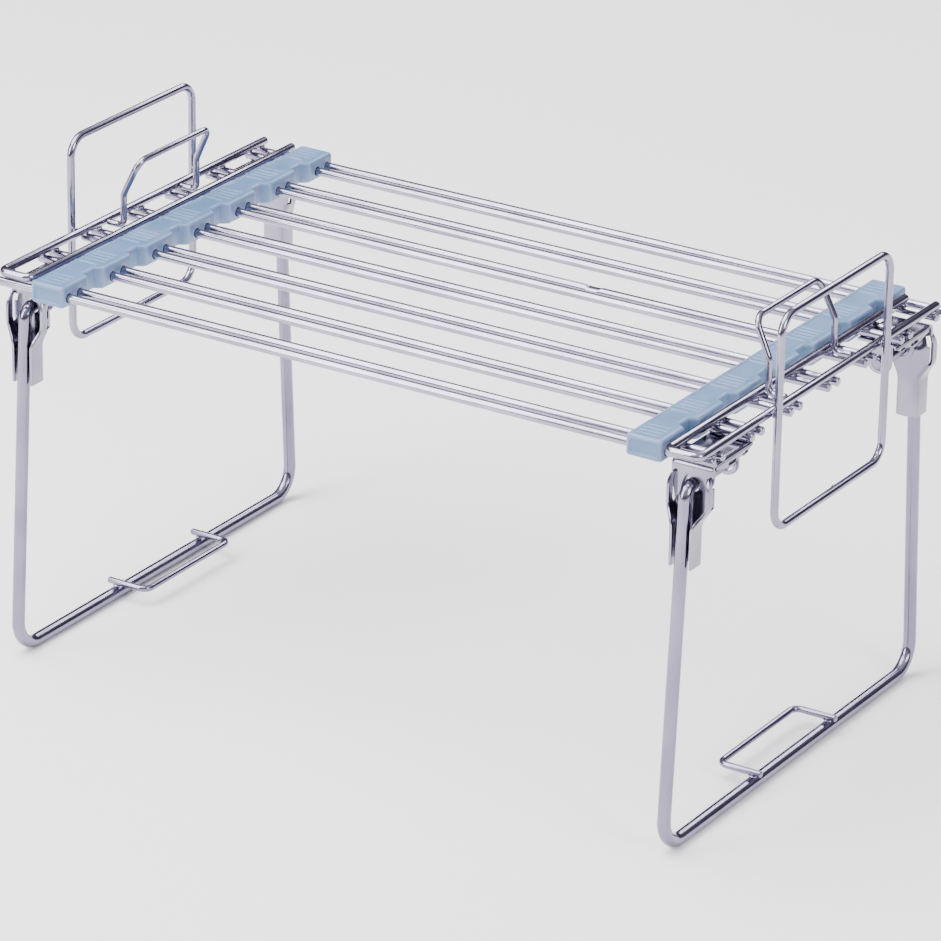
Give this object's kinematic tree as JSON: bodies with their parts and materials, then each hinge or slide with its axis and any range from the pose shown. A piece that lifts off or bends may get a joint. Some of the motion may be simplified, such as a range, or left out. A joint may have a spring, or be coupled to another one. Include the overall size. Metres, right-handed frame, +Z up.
{
  "type": "folding wire cooling rack",
  "caption": "Expandable wire rack shelf: paired rods through plastic guide bars, folding wire legs on stamped hinge brackets, and upright stacking loops at both ends.",
  "frame": {"origin": "middle of the box round the whole rack at rest, on the surface it stands on", "axes": "+X along the shelf rods towards the half that pulls out, +Y towards the back, where the end frames are open, +Z up"},
  "size_m": [0.37, 0.2332, 0.2269],
  "materials": {
    "rod_wire": "bright chrome plate on straight steel rod",
    "frame_wire": "bright chrome plate on bent steel wire",
    "loop_wire": "bright chrome plate on bent steel wire",
    "leg_wire": "bright chrome plate on thick bent steel wire",
    "stamped_steel": "chrome plate on stamped sheet, a little softer than the wire",
    "guide_plastic": "frosted, slightly translucent moulded plastic"
  },
  "bodies": {
    "root": {"left_end_frame": "frame_wire", "left_stacking_loop": "loop_wire", "left_stacking_arch": "loop_wire", "left_front_hinge_bracket": "stamped_steel", "left_back_hinge_bracket": "stamped_steel", "left_rod_1": "rod_wire", "left_rod_2": "rod_wire", "left_rod_3": "rod_wire", "left_rod_4": "rod_wire", "left_rod_5": "rod_wire", "left_rod_6": "rod_wire", "left_rod_7": "rod_wire", "right_guide_bar": "guide_plastic"},
    "right_half": {"right_end_frame": "frame_wire", "right_stacking_loop": "loop_wire", "right_stacking_arch": "loop_wire", "right_front_hinge_bracket": "stamped_steel", "right_back_hinge_bracket": "stamped_steel", "right_rod_1": "rod_wire", "right_rod_2": "rod_wire", "right_rod_3": "rod_wire", "right_rod_4": "rod_wire", "right_rod_5": "rod_wire", "right_rod_6": "rod_wire", "right_rod_7": "rod_wire", "left_guide_bar": "guide_plastic"},
    "left_leg_set": {"left_leg": "leg_wire", "left_foot_clip": "leg_wire", "left_front_leg_clip": "stamped_steel", "left_back_leg_clip": "stamped_steel"},
    "right_leg_set": {"right_leg": "leg_wire", "right_foot_clip": "leg_wire", "right_front_leg_clip": "stamped_steel", "right_back_leg_clip": "stamped_steel"}
  },
  "joints": [
    {"name": "extend", "type": "slide", "parent": "root", "child": "right_half", "axis": [1, 0, 0], "range_m": [0, 0.1785]},
    {"name": "left_leg_fold", "type": "hinge", "parent": "root", "child": "left_leg_set", "pos_m": [-0.1703, 0.004, 0.1645], "axis": [0, -1, 0], "range_deg": [0, 86]},
    {"name": "right_leg_fold", "type": "hinge", "parent": "right_half", "child": "right_leg_set", "pos_m": [0.1703, -0.004, 0.1645], "axis": [0, 1, 0], "range_deg": [0, 86]}
  ]
}
